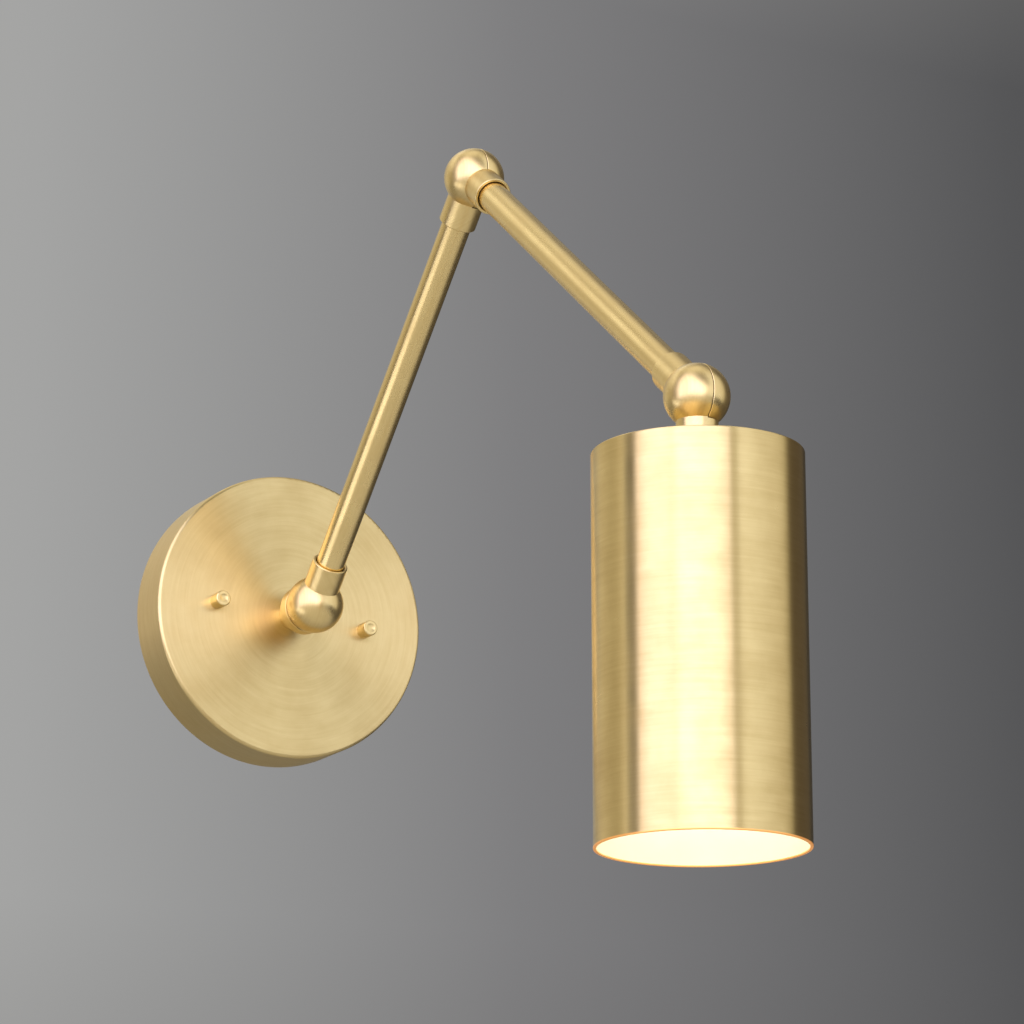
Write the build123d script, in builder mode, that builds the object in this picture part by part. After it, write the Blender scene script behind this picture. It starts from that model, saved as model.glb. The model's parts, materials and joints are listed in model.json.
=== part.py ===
"""Articulating wall lamp: a round canopy, two tube arms on three ball swivels and a cylinder shade.

+Z is up, the wall is the plane Y = 0 and the lamp stands out towards -Y.
The origin is the centre of the canopy's back, on the wall.
"""
from build123d import *
import os
from math import cos, radians, sin, sqrt

os.makedirs("parts", exist_ok=True)

# ---------------------------------------------------------------- driving dimensions, mm and degrees
# Canopy
canopy_d = 130.0
canopy_depth = 24.0
canopy_wall = 1.6
canopy_edge_r = 1.5
edge_spare = 0.1            # wall left beside the rounding of an edge
# Crossbars behind the canopy
bar_width = 18.0
bar_t = 2.0
bar_corner_r = 4.0
bar_end_margin = 8.0        # bar beyond the outermost slot or hole
box_spacing = 88.9          # between the outlet box's two screws
box_slot_length = 12.0
box_slot_width = 4.6
eyelet_r = 5.0
eyelet_flange_r = 7.5
eyelet_flange_t = 1.0
eyelet_bore_r = 3.8
# Studs and nuts that hold the canopy
stud_spacing = 73.2
stud_tilt = -4.4            # the studs' line against the horizontal
stud_d = 4.2
stud_wall_gap = 1.0         # between a stud's back end and the wall
stud_nut_flats = 8.7
stud_nut_t = 3.2
cap_nut_d = 7.0
cap_nut_length = 7.2
cap_nut_edge_r = 0.6
cap_nut_dish_r = 2.0
cap_nut_dish_depth = 0.35
stud_in_cap = 5.0
# Earth screw and supply leads
screw_d = 3.5
screw_head_d = 7.0
screw_head_t = 2.2
screw_slot_width = 0.9
screw_slot_depth = 0.8
earth_screw_x = 20.0
terminal_t = 0.8
lead_d = 2.0
lead_bend_r = 3.5
supply_lead_angle = 62.0    # above the horizontal, to each side
supply_lead_reach = 20.0    # from the canopy's axis to the connector
supply_lead_inside = 12.0   # length inside the wall nipple
connector_d = 9.0
connector_tip_d = 6.0
connector_length = 18.0
connector_grip = 6.0        # lead inside the connector
# Ball swivels
ball_d = 25.4
ball_wall = 3.1
seam_gap = 0.3              # between the two halves of a ball
seam_edge = 0.2             # bevel of each half's rim
glide_gap = 0.3             # between a ball and what it glides in or under
collar_d = 16.0
collar_reach = 22.0         # from the wall and elbow balls' centres to their collars' ends
head_collar_reach = 24.0    # from the head ball's centre to the upper arm's collar's end
collar_rim_r = 0.45
hub_d = 9.2
pivot_d = 4.0
pivot_head_d = 7.0
pivot_head_t = 2.5
pivot_slot_width = 0.9
pivot_slot_depth = 1.0
pivot_in_cup = 9.0          # from the ball's centre to the screw's tip
spring_t = 0.8
friction_t = 1.0
# Wall swivel: a hollow ball that rocks in a cup, held by a follower inside it
wall_ball_wall = 2.0
cup_d = 22.0
cup_rim = 7.7               # from the ball's centre back to the cup's rim
cup_back = 13.0             # to the end of the cup's full width
cup_neck = 17.5             # to the start of its neck
cup_neck_d = 12.0
cup_rim_r = 0.2
cup_shoulder_r = 2.0
cup_root_r = 1.5
follower_d = 16.8
follower_back = 6.3         # from the ball's centre to the follower's flat side
follower_spring_t = 0.8
follower_spring_d = 14.0
follower_nut_t = 3.0
follower_nut_flats = 13.0
follower_nipple_spare = 1.0
wall_slot_gap = 0.15        # each side of the nipple, in the ball's slot
wall_tilt_low = 0.0         # lower arm's lowest and highest angle above the horizontal
wall_tilt_high = 80.0
# Arms
tube_d = 12.7
tube_in_collar = 5.8
tube_collar_gap = 0.35      # all round, between tube and collar
lower_length = 216.0        # between ball centres
lower_angle = 45.0          # above the horizontal
upper_length = 230.5
upper_angle = -38.65
nipple_d = 9.9
nipple_bore_d = 7.2
nipple_in_tube = 10.4
nipple_ball_gap = 0.9       # between the ball's surface and a nipple's end
lead_side = 2.0             # from the tube's axis to the pair of leads
lead_pair = 2.5             # between the two leads of a pair
# Wall nipple's hardware
wall_reach = 25.1           # from the canopy's face to the wall ball's centre
nipple_nut_flats = 14.0
nipple_nut_t = 4.0
nipple_washer_d = 17.0
nipple_washer_t = 1.0
nipple_spare = 3.0          # nipple beyond its nut
# Head: shade, socket and bulb, from the head ball downwards
head_reach = 22.6           # from the head ball's centre to the shade's top
shade_d = 80.0
shade_length = 148.6
shade_wall = 1.2
shade_edge_r = 0.5
shade_rim_r = 0.3
shade_nut_t = 3.5
shade_washer_t = 0.8
shade_washer_d = 20.0
bracket_hub_d = 14.0
bracket_hub_t = 5.0
bracket_plate_d = 30.0
bracket_plate_t = 1.2
bracket_lead_hole_d = 7.0
socket_length = 44.0
socket_neck_d = 30.0
socket_mouth_d = 39.0
socket_mouth_length = 27.0
socket_floor_t = 16.0
socket_edge_r = 1.5
socket_lead_spare = 4.0     # ceramic beyond the leads' ends
socket_screw_spacing = 21.5
socket_screw_depth = 7.0
socket_shell_d = 28.0
socket_shell_t = 0.5
socket_shell_length = 24.0
contact_width = 6.0
contact_length = 14.0
contact_t = 0.5
contact_rise = 1.4
contact_pad = 3.5
bulb_base_d = 26.2
bulb_base_t = 0.5
bulb_base_length = 22.0
bulb_insulator_length = 2.6
bulb_insulator_d = 19.0
bulb_tip_d = 9.0
bulb_tip_t = 1.1
bulb_tip_edge_r = 0.5
bulb_d = 60.0
bulb_glass_length = 79.0
bulb_neck_d = 25.0
bulb_glass_t = 0.8
bulb_glass_in_base = 3.0
# Clearances
thread_gap = 0.05           # radial, in threads, which are left plain
run_gap = 0.09              # radial, shaft in a plain hole that it turns in
slide_gap = 0.05            # between flat faces that slide on each other
seat_gap = 0.2              # between pieces that lie in one another
screw_hole_gap = 0.3        # radial, screw or stud in a plain hole

# ---------------------------------------------------------------- derived places
canopy_r = canopy_d / 2
ball_r = ball_d / 2
cavity_r = ball_r - ball_wall
collar_r = collar_d / 2
hub_r = hub_d / 2
tube_r = tube_d / 2
nipple_r = nipple_d / 2
nipple_bore_r = nipple_bore_d / 2
pivot_r = pivot_d / 2
lead_r = lead_d / 2
nipple_start = ball_r + nipple_ball_gap
lead_start = cavity_r - seat_gap
pivot_seat = ball_r - pivot_head_t - spring_t
bar_front = 2 * bar_t


def arm_direction(angle):
    """Direction out of the wall and up by the angle, in the lamp's upright plane."""
    return Vector(0, -cos(radians(angle)), sin(radians(angle)))


wall_ball = Vector(0, -canopy_depth - wall_reach, 0)
elbow_ball = wall_ball + arm_direction(lower_angle) * lower_length
head_ball = elbow_ball + arm_direction(upper_angle) * upper_length


def stem_plane(centre, angle):
    """Plane in a ball's centre: normal along the collar, local X along the pivot."""
    return Plane(origin=centre, x_dir=(1, 0, 0), z_dir=arm_direction(angle))


wall_stem = stem_plane(wall_ball, 180)
lower_stem = stem_plane(wall_ball, lower_angle)
lower_end_stem = stem_plane(elbow_ball, lower_angle + 180)
upper_stem = stem_plane(elbow_ball, upper_angle)
upper_end_stem = stem_plane(head_ball, upper_angle + 180)
head_stem = stem_plane(head_ball, -90)
head_section = Plane(origin=head_ball, x_dir=(1, 0, 0), z_dir=(0, 1, 0))   # local Y points down
head_axis = Axis(head_ball, (0, 0, -1))

stud_x = stud_spacing / 2 * cos(radians(stud_tilt))
stud_z = stud_spacing / 2 * sin(radians(stud_tilt))
stud_places = [(stud_x, stud_z), (-stud_x, -stud_z)]


def save(part, name):
    """Label one finished sub-part and write it."""
    part.label = name
    export_step(part, f"parts/{name}.step")


# ---------------------------------------------------------------- shapes that repeat
def sleeve(plane, start, length, outer_r, inner_r):
    """A tube, nipple or washer along a plane's normal."""
    with BuildPart() as piece:
        with BuildSketch(plane.offset(start)):
            Circle(outer_r)
            Circle(inner_r, mode=Mode.SUBTRACT)
        extrude(amount=length)
    return piece.part


def hex_nut(plane, start, thickness, flats, hole_r, places=((0, 0),)):
    """Hexagon nuts, one at each place on the plane."""
    with BuildPart() as nuts:
        with BuildSketch(plane.offset(start)):
            with Locations(*places):
                RegularPolygon(flats / 2, 6, major_radius=False)
                Circle(hole_r, mode=Mode.SUBTRACT)
        extrude(amount=thickness)
    return nuts.part


def lead_pair_along(plane, side, start, end):
    """Two insulated leads that run side by side along a tube."""
    with BuildPart() as leads:
        with BuildSketch(plane.offset(start)):
            with Locations((side * lead_side, lead_pair / 2), (side * lead_side, -lead_pair / 2)):
                Circle(lead_r)
        extrude(amount=end - start)
    return leads.part


def collar_bore(stem, start, reach, tube_socket):
    """What is bored from a collar: wire way, nipple's thread and, for an arm, the tube's socket."""
    steps = [(start, nipple_bore_r), (nipple_start - seat_gap, nipple_r + thread_gap)]
    if tube_socket:
        steps.append((reach - tube_in_collar - seat_gap, tube_r + tube_collar_gap))
    with BuildPart() as bore:
        for step_start, step_r in steps:
            with BuildSketch(stem.offset(step_start)):
                Circle(step_r)
            extrude(amount=reach)
    return bore.part


def mouth_edge(collar, stem):
    """Inner edge of a collar's end."""
    return collar.faces().sort_by(Axis(stem.origin, stem.z_dir))[-1].edges().sort_by(SortBy.LENGTH)[0]


def swivel_half(stem, side, reach, tube_socket):
    """Half of a hollow ball with the collar that it carries; side is +1 or -1 along the pivot.

    Over the other half the collar's base is a saddle, which glides on that half.
    """
    rim = seam_gap / 2
    pole = Plane(origin=stem.origin, x_dir=stem.z_dir, z_dir=stem.x_dir * side)
    section = Plane(origin=stem.origin, x_dir=stem.x_dir * side, z_dir=stem.z_dir)
    pivot = Axis(stem.origin, stem.x_dir)
    bevel_x = rim + seam_edge
    bevel_y = sqrt(ball_r**2 - bevel_x**2)
    hub_x = friction_t / 2 + slide_gap
    bore = collar_bore(stem, hub_r + seat_gap, reach, tube_socket)
    with BuildPart() as half:
        # the collar, with its saddle
        with BuildSketch(stem):
            Circle(collar_r)
        extrude(amount=reach)
        fillet(half.faces().sort_by(Axis(stem.origin, stem.z_dir))[-1].edges(), collar_rim_r)
        with Locations(stem):
            Sphere(ball_r + glide_gap, mode=Mode.SUBTRACT)
        # the half ball, with a bevelled rim
        with BuildSketch(section):
            with BuildLine():
                Polyline((ball_r, 0), (rim, 0), (rim, bevel_y - seam_edge), (bevel_x, bevel_y))
                RadiusArc((bevel_x, bevel_y), (ball_r, 0), ball_r)
            make_face()
        revolve(axis=pivot)
        # the collar's root in its own half
        with BuildSketch(stem):
            Circle(collar_r)
            with Locations((side * (rim + collar_r / 2), 0)):
                Rectangle(collar_r, collar_d, mode=Mode.INTERSECT)
        extrude(amount=ball_r + 2 * glide_gap)
        # the wire chamber round the hub
        with BuildSketch(section):
            Circle(cavity_r)
            with Locations((-cavity_r, 0)):
                Rectangle(2 * cavity_r, 2 * cavity_r, mode=Mode.SUBTRACT)
            with Locations((0, -cavity_r)):
                Rectangle(2 * cavity_r, 2 * cavity_r, mode=Mode.SUBTRACT)
            with Locations((hub_x + cavity_r / 2, 0)):
                Rectangle(cavity_r, hub_d, mode=Mode.SUBTRACT)
        revolve(axis=pivot, mode=Mode.SUBTRACT)
        add(bore, mode=Mode.SUBTRACT)
        if tube_socket:
            fillet(mouth_edge(half, stem), collar_rim_r)
        # the pivot hole: plain with a sunk head on one side, a blind thread on the other
        if side > 0:
            with BuildSketch(pole):
                Circle(pivot_r + run_gap)
            extrude(amount=ball_d, mode=Mode.SUBTRACT)
            with BuildSketch(pole.offset(pivot_seat)):
                Circle(pivot_head_d / 2 + run_gap)
            extrude(amount=ball_d, mode=Mode.SUBTRACT)
        else:
            with BuildSketch(pole):
                Circle(pivot_r + thread_gap)
            extrude(amount=pivot_in_cup + seat_gap, mode=Mode.SUBTRACT)
    return half.part


def pivot_screw(centre):
    """Slotted screw along +X, its head domed flush with the ball."""
    pivot = Plane(origin=centre, x_dir=(0, 1, 0), z_dir=(1, 0, 0))
    head_start = pivot_seat + slide_gap + spring_t
    with BuildPart() as screw:
        with BuildSketch(pivot.offset(head_start)):
            Circle(pivot_head_d / 2)
        extrude(amount=pivot_head_t)
        with Locations(pivot):
            Sphere(ball_r, mode=Mode.INTERSECT)
        with BuildSketch(pivot.offset(ball_r)):
            Rectangle(pivot_slot_width, pivot_head_d)
        extrude(amount=-pivot_slot_depth, mode=Mode.SUBTRACT)
        with BuildSketch(pivot.offset(-pivot_in_cup)):
            Circle(pivot_r)
        extrude(amount=pivot_in_cup + head_start)
    return screw.part


def pivot_washer(centre, start, thickness, outer_r):
    """Round washer on the pivot screw."""
    pivot = Plane(origin=centre, x_dir=(0, 1, 0), z_dir=(1, 0, 0))
    return sleeve(pivot, start, thickness, outer_r, pivot_r + thread_gap)


def save_pivot(centre, name):
    """Screw, spring washer under its head and friction washer between the hubs."""
    save(pivot_screw(centre), f"{name}_pivot_screw")
    spring_r = pivot_head_d / 2
    save(pivot_washer(centre, pivot_seat + slide_gap, spring_t, spring_r), f"{name}_pivot_spring")
    save(pivot_washer(centre, -friction_t / 2, friction_t, hub_r), f"{name}_friction_washer")


def save_arm(stem, length, side, name, near, far, far_reach):
    """Tube, the nipple in each of its ends and the leads inside."""
    tube_start = collar_reach - tube_in_collar
    tube_end = length - far_reach + tube_in_collar
    near_nipple_end = tube_start + nipple_in_tube
    far_nipple_start = tube_end - nipple_in_tube
    save(sleeve(stem, tube_start, tube_end - tube_start, tube_r, nipple_r + thread_gap), f"{name}_tube")
    save(sleeve(stem, nipple_start, near_nipple_end - nipple_start, nipple_r, nipple_bore_r),
         f"{name}_tube_nipple_{near}")
    save(sleeve(stem, far_nipple_start, length - nipple_start - far_nipple_start, nipple_r, nipple_bore_r),
         f"{name}_tube_nipple_{far}")
    save(lead_pair_along(stem, side, lead_start, length - lead_start), f"{name}_arm_leads")


# ---------------------------------------------------------------- canopy and crossbars
with BuildPart() as canopy:
    with BuildSketch(Plane.XZ):
        Circle(canopy_r)
    extrude(amount=canopy_depth)
    fillet(canopy.faces().sort_by(Axis.Y)[0].edges(), min(canopy_edge_r, canopy_wall - edge_spare))
    with BuildSketch(Plane.XZ):
        Circle(canopy_r - canopy_wall)
    extrude(amount=canopy_depth - canopy_wall, mode=Mode.SUBTRACT)
    with BuildSketch(Plane.XZ):
        Circle(nipple_r + run_gap)
        with Locations(*stud_places):
            Circle(stud_d / 2 + screw_hole_gap)
    extrude(amount=canopy_depth, mode=Mode.SUBTRACT)
save(canopy.part, "canopy")

with BuildPart() as box_bar:
    with BuildSketch(Plane.XZ) as box_bar_outline:
        Rectangle(bar_width, box_spacing + box_slot_length + bar_end_margin)
        fillet(box_bar_outline.vertices(), bar_corner_r)
        with Locations((0, box_spacing / 2), (0, -box_spacing / 2)):
            SlotOverall(box_slot_length, box_slot_width, rotation=90, mode=Mode.SUBTRACT)
        Circle(eyelet_r + thread_gap, mode=Mode.SUBTRACT)
    extrude(amount=bar_t)
save(box_bar.part, "box_bar")

earth_x = earth_screw_x * cos(radians(stud_tilt))
earth_z = earth_screw_x * sin(radians(stud_tilt))
with BuildPart() as stud_bar:
    with BuildSketch(Plane.XZ.offset(bar_t)) as stud_bar_outline:
        Rectangle(stud_spacing + 2 * bar_end_margin, bar_width, rotation=stud_tilt)
        fillet(stud_bar_outline.vertices(), bar_corner_r)
        with Locations(*stud_places):
            Circle(stud_d / 2 + thread_gap, mode=Mode.SUBTRACT)
        with Locations((earth_x, earth_z)):
            Circle(screw_d / 2 + thread_gap, mode=Mode.SUBTRACT)
        Circle(eyelet_r + thread_gap, mode=Mode.SUBTRACT)
    extrude(amount=bar_t)
save(stud_bar.part, "stud_bar")

with BuildPart() as bar_eyelet:
    with BuildSketch(Plane.XZ):
        Circle(eyelet_r)
    extrude(amount=bar_front)
    with BuildSketch(Plane.XZ.offset(bar_front)):
        Circle(eyelet_flange_r)
    extrude(amount=eyelet_flange_t)
    with BuildSketch(Plane.XZ):
        Circle(eyelet_bore_r)
    extrude(amount=bar_front + eyelet_flange_t, mode=Mode.SUBTRACT)
save(bar_eyelet.part, "bar_eyelet")

# ---------------------------------------------------------------- studs and their nuts
with BuildPart() as canopy_studs:
    with BuildSketch(Plane.XZ.offset(stud_wall_gap)):
        with Locations(*stud_places):
            Circle(stud_d / 2)
    extrude(amount=canopy_depth + stud_in_cap - stud_wall_gap)
save(canopy_studs.part, "canopy_studs")

save(hex_nut(Plane.XZ, bar_front, stud_nut_t, stud_nut_flats, stud_d / 2 + thread_gap, stud_places),
     "stud_nuts")

dish_ball_r = (cap_nut_dish_r**2 + cap_nut_dish_depth**2) / (2 * cap_nut_dish_depth)
dish_centre = canopy_depth + cap_nut_length + dish_ball_r - cap_nut_dish_depth
with BuildPart() as cap_nuts:
    with BuildSketch(Plane.XZ.offset(canopy_depth)):
        with Locations(*stud_places):
            Circle(cap_nut_d / 2)
    extrude(amount=cap_nut_length)
    ends = cap_nuts.faces().sort_by(Axis.Y)[:2]
    fillet([edge for end in ends for edge in end.edges()], cap_nut_edge_r)
    with BuildSketch(Plane.XZ.offset(canopy_depth)):
        with Locations(*stud_places):
            Circle(stud_d / 2 + thread_gap)
    extrude(amount=stud_in_cap + seat_gap, mode=Mode.SUBTRACT)
    with Locations(*[(x, -dish_centre, z) for x, z in stud_places]):
        Sphere(dish_ball_r, mode=Mode.SUBTRACT)
save(cap_nuts.part, "cap_nuts")

# ---------------------------------------------------------------- earth screw, leads and connectors
head_start = bar_front + terminal_t
with BuildPart() as earth_screw:
    with BuildSketch(Plane.XZ.offset(stud_wall_gap)):
        with Locations((earth_x, earth_z)):
            Circle(screw_d / 2)
    extrude(amount=head_start - stud_wall_gap)
    with BuildSketch(Plane.XZ.offset(head_start)):
        with Locations((earth_x, earth_z)):
            Circle(screw_head_d / 2)
    extrude(amount=screw_head_t)
    with BuildSketch(Plane.XZ.offset(head_start + screw_head_t)):
        with Locations((earth_x, earth_z)):
            Rectangle(screw_head_d, screw_slot_width)
    extrude(amount=-screw_slot_depth, mode=Mode.SUBTRACT)
save(earth_screw.part, "earth_screw")

earth_lead_y = bar_front + lead_r
earth_connector_z = earth_z - supply_lead_reach
with BuildPart() as earth_lead:
    with BuildSketch(Plane.XZ.offset(bar_front)):
        with Locations((earth_x, earth_z)):
            Circle(screw_head_d / 2)
            Circle(screw_d / 2 + thread_gap, mode=Mode.SUBTRACT)
    extrude(amount=terminal_t)
    lead_end = Plane(origin=(earth_x, -earth_lead_y, earth_z - screw_head_d / 2), z_dir=(0, 0, -1))
    with BuildSketch(lead_end):
        Circle(lead_r)
    extrude(amount=supply_lead_reach - screw_head_d / 2 + connector_grip)
    with BuildSketch(Plane.XZ.offset(bar_front)):
        with Locations((earth_x, earth_z - screw_head_d / 2)):
            Rectangle(lead_d, screw_head_d / 2)
    extrude(amount=terminal_t)
save(earth_lead.part, "earth_lead")

nipple_wall_end = canopy_depth - canopy_wall - nipple_washer_t - nipple_nut_t - nipple_spare
supply_lead_r = nipple_bore_r - lead_r - seat_gap
supply_lead_y = nipple_wall_end - seat_gap - lead_bend_r
supply_lead_angles = (supply_lead_angle, 180 - supply_lead_angle)


def supply_lead(angle):
    """Lead that comes out of the wall nipple and turns outwards to its connector."""
    across = Vector(cos(radians(angle)), 0, sin(radians(angle)))
    section = Plane(origin=(0, 0, 0), x_dir=across, z_dir=(-across.Z, 0, across.X))   # local Y is +Y
    start = nipple_wall_end + supply_lead_inside
    with BuildPart() as lead:
        with BuildLine(section):
            route = FilletPolyline((supply_lead_r, -start), (supply_lead_r, -supply_lead_y),
                                   (supply_lead_reach + connector_grip, -supply_lead_y),
                                   radius=lead_bend_r)
        with BuildSketch(Plane(origin=route @ 0, z_dir=route % 0)):
            Circle(lead_r)
        sweep()
    return lead.part


for name, angle in zip(("hot_lead", "neutral_lead"), supply_lead_angles):
    save(supply_lead(angle), name)


def connector(mouth):
    """Twist-on connector: a cone with a blind mouth for the lead."""
    with BuildPart() as cap:
        with BuildSketch(mouth):
            Circle(connector_d / 2)
        with BuildSketch(mouth.offset(connector_length)):
            Circle(connector_tip_d / 2)
        loft()
        with BuildSketch(mouth):
            Circle(lead_r + thread_gap)
        extrude(amount=connector_grip + seat_gap, mode=Mode.SUBTRACT)
    return cap.part


connector_mouths = [Plane(origin=(earth_x, -earth_lead_y, earth_connector_z), z_dir=(0, 0, -1))]
for angle in supply_lead_angles:
    outwards = Vector(cos(radians(angle)), 0, sin(radians(angle)))
    place = outwards * supply_lead_reach + Vector(0, -supply_lead_y, 0)
    connector_mouths.append(Plane(origin=place, z_dir=outwards))
with BuildPart() as wire_connectors:
    for mouth in connector_mouths:
        add(connector(mouth))
save(wire_connectors.part, "wire_connectors")

# ---------------------------------------------------------------- wall swivel
wall_cavity_r = ball_r - wall_ball_wall
wall_pivot = Axis(wall_ball, (1, 0, 0))
cup_section = Plane(origin=wall_ball, x_dir=(1, 0, 0), z_dir=(0, 0, 1))     # local Y points to the wall
cup_hole_r = nipple_r + thread_gap

with BuildPart() as wall_swivel_base:
    with BuildSketch(cup_section) as cup_profile:
        with BuildLine():
            Polyline((cup_hole_r, wall_reach - slide_gap), (cup_neck_d / 2, wall_reach - slide_gap),
                     (cup_neck_d / 2, cup_neck), (cup_d / 2, cup_back), (cup_d / 2, cup_rim),
                     (cup_hole_r, cup_rim), close=True)
        make_face()
        outline = cup_profile.vertices().group_by(Axis.X)[-1].sort_by(Axis.Y)
        fillet(outline[0], cup_rim_r)
        fillet(outline[1], cup_shoulder_r)
        fillet(cup_profile.vertices().group_by(Axis.X)[1].sort_by(Axis.Y)[0], cup_root_r)
    revolve(axis=Axis(wall_ball, (0, 1, 0)))
    with Locations(wall_stem):
        Sphere(ball_r + glide_gap, mode=Mode.SUBTRACT)
save(wall_swivel_base.part, "wall_swivel_base")


def slot_direction(angle):
    """Where the wall nipple lies in the ball at rest, when the arm stands at the angle."""
    return arm_direction(180 - (angle - lower_angle))


arm_bore = collar_bore(lower_stem, 0, collar_reach, True)
slot_ends = [slot_direction(wall_tilt_low), slot_direction(wall_tilt_high)]
slot_width = 2 * (nipple_r + wall_slot_gap)
with BuildPart() as wall_swivel_ball:
    with BuildSketch(lower_stem):
        Circle(collar_r)
    extrude(amount=collar_reach)
    fillet(wall_swivel_ball.faces().sort_by(Axis(wall_ball, lower_stem.z_dir))[-1].edges(), collar_rim_r)
    with Locations(lower_stem):
        Sphere(ball_r)
        Sphere(wall_cavity_r, mode=Mode.SUBTRACT)
    add(arm_bore, mode=Mode.SUBTRACT)
    fillet(mouth_edge(wall_swivel_ball, lower_stem), collar_rim_r)
    # the slot: one end round the nipple at each limit, and the sweep between them
    with BuildSketch(*[Plane(origin=wall_ball, x_dir=(1, 0, 0), z_dir=end) for end in slot_ends]):
        Circle(slot_width / 2)
    extrude(amount=ball_d, mode=Mode.SUBTRACT)
    with BuildSketch(Plane(origin=wall_ball, x_dir=(1, 0, 0), z_dir=Vector(1, 0, 0).cross(slot_ends[0]))):
        with Locations((0, ball_r)):
            Rectangle(slot_width, ball_r)
    revolve(axis=wall_pivot, revolution_arc=wall_tilt_high - wall_tilt_low, mode=Mode.SUBTRACT)
save(wall_swivel_ball.part, "wall_swivel_ball")

with BuildPart() as wall_ball_follower:
    with BuildSketch(wall_stem.offset(follower_back)):
        Circle(follower_d / 2)
        Circle(cup_hole_r, mode=Mode.SUBTRACT)
    extrude(amount=wall_cavity_r - follower_back)
    with Locations(wall_stem):
        Sphere(wall_cavity_r - glide_gap, mode=Mode.INTERSECT)
save(wall_ball_follower.part, "wall_ball_follower")

follower_spring_start = follower_back - slide_gap - follower_spring_t
follower_nut_start = follower_spring_start - follower_nut_t
wall_nipple_start = follower_nut_start - follower_nipple_spare
wall_nipple_length = wall_reach + canopy_depth - wall_nipple_start - nipple_wall_end
nipple_washer_start = wall_reach + canopy_wall + slide_gap
nipple_nut_start = nipple_washer_start + nipple_washer_t
save(sleeve(wall_stem, follower_spring_start, follower_spring_t, follower_spring_d / 2, cup_hole_r),
     "wall_ball_spring")
save(hex_nut(wall_stem, follower_nut_start, follower_nut_t, follower_nut_flats, cup_hole_r),
     "wall_ball_nut")
save(sleeve(wall_stem, wall_nipple_start, wall_nipple_length, nipple_r, nipple_bore_r), "wall_nipple")
save(sleeve(wall_stem, nipple_washer_start, nipple_washer_t, nipple_washer_d / 2, cup_hole_r),
     "wall_spring_washer")
save(hex_nut(wall_stem, nipple_nut_start, nipple_nut_t, nipple_nut_flats, cup_hole_r),
     "wall_nipple_nut")

# ---------------------------------------------------------------- lower arm
save_arm(lower_stem, lower_length, -1, "lower", "wall", "elbow", collar_reach)
save(swivel_half(lower_end_stem, -1, collar_reach, True), "elbow_swivel_cup")
save_pivot(elbow_ball, "elbow")

# ---------------------------------------------------------------- upper arm
save(swivel_half(upper_stem, 1, collar_reach, True), "elbow_swivel_base")
save_arm(upper_stem, upper_length, 1, "upper", "elbow", "head", head_collar_reach)
save(swivel_half(upper_end_stem, 1, head_collar_reach, True), "head_swivel_base")

# ---------------------------------------------------------------- head: swivel and shade
save(swivel_half(head_stem, -1, head_reach, False), "head_swivel_cup")
save_pivot(head_ball, "head")

with BuildPart() as shade:
    with BuildSketch(head_stem.offset(head_reach)):
        Circle(shade_d / 2)
    extrude(amount=shade_length)
    fillet(shade.faces().sort_by(Axis.Z)[-1].edges(), min(shade_edge_r, shade_wall - edge_spare))
    with BuildSketch(head_stem.offset(head_reach + shade_wall)):
        Circle(shade_d / 2 - shade_wall)
    extrude(amount=shade_length, mode=Mode.SUBTRACT)
    fillet(shade.faces().sort_by(Axis.Z)[0].edges(), min(shade_rim_r, shade_wall / 2 - edge_spare))
    with BuildSketch(head_stem.offset(head_reach)):
        Circle(nipple_r + thread_gap)
    extrude(amount=shade_wall, mode=Mode.SUBTRACT)
save(shade.part, "shade")

shade_washer_start = head_reach + shade_wall
shade_nut_start = shade_washer_start + shade_washer_t
bracket_start = shade_nut_start + shade_nut_t
bracket_plate_start = bracket_start + bracket_hub_t
socket_start = bracket_plate_start + bracket_plate_t
socket_end = socket_start + socket_length
socket_floor = socket_start + socket_floor_t
shade_nipple_length = bracket_plate_start - seat_gap - nipple_start

save(sleeve(head_stem, nipple_start, shade_nipple_length, nipple_r, nipple_bore_r), "shade_nipple")
save(sleeve(head_stem, shade_washer_start, shade_washer_t, shade_washer_d / 2, nipple_r + thread_gap),
     "shade_lock_washer")
save(hex_nut(head_stem, shade_nut_start, shade_nut_t, nipple_nut_flats, nipple_r + thread_gap),
     "shade_nut")

# ---------------------------------------------------------------- head: socket
socket_screw_places = [(0, socket_screw_spacing / 2), (0, -socket_screw_spacing / 2)]
socket_lead_places = [(-lead_side, lead_pair / 2), (-lead_side, -lead_pair / 2)]

with BuildPart() as socket_bracket:
    with BuildSketch(head_stem.offset(bracket_start)):
        Circle(bracket_hub_d / 2)
        Circle(nipple_r + thread_gap, mode=Mode.SUBTRACT)
    extrude(amount=bracket_hub_t)
    with BuildSketch(head_stem.offset(bracket_plate_start)):
        Circle(bracket_plate_d / 2)
        Circle(bracket_lead_hole_d / 2, mode=Mode.SUBTRACT)
        with Locations(*socket_screw_places):
            Circle(screw_d / 2 + screw_hole_gap, mode=Mode.SUBTRACT)
    extrude(amount=bracket_plate_t)
save(socket_bracket.part, "socket_bracket")

with BuildPart() as socket_screws:
    with BuildSketch(head_stem.offset(bracket_plate_start - screw_head_t)):
        with Locations(*socket_screw_places):
            Circle(screw_head_d / 2 - seat_gap)
    extrude(amount=screw_head_t)
    with BuildSketch(head_stem.offset(bracket_plate_start - screw_head_t)):
        with Locations(*socket_screw_places):
            Rectangle(screw_head_d, screw_slot_width)
    extrude(amount=screw_slot_depth, mode=Mode.SUBTRACT)
    with BuildSketch(head_stem.offset(bracket_plate_start)):
        with Locations(*socket_screw_places):
            Circle(screw_d / 2)
    extrude(amount=bracket_plate_t + socket_screw_depth)
save(socket_screws.part, "socket_screws")

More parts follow.
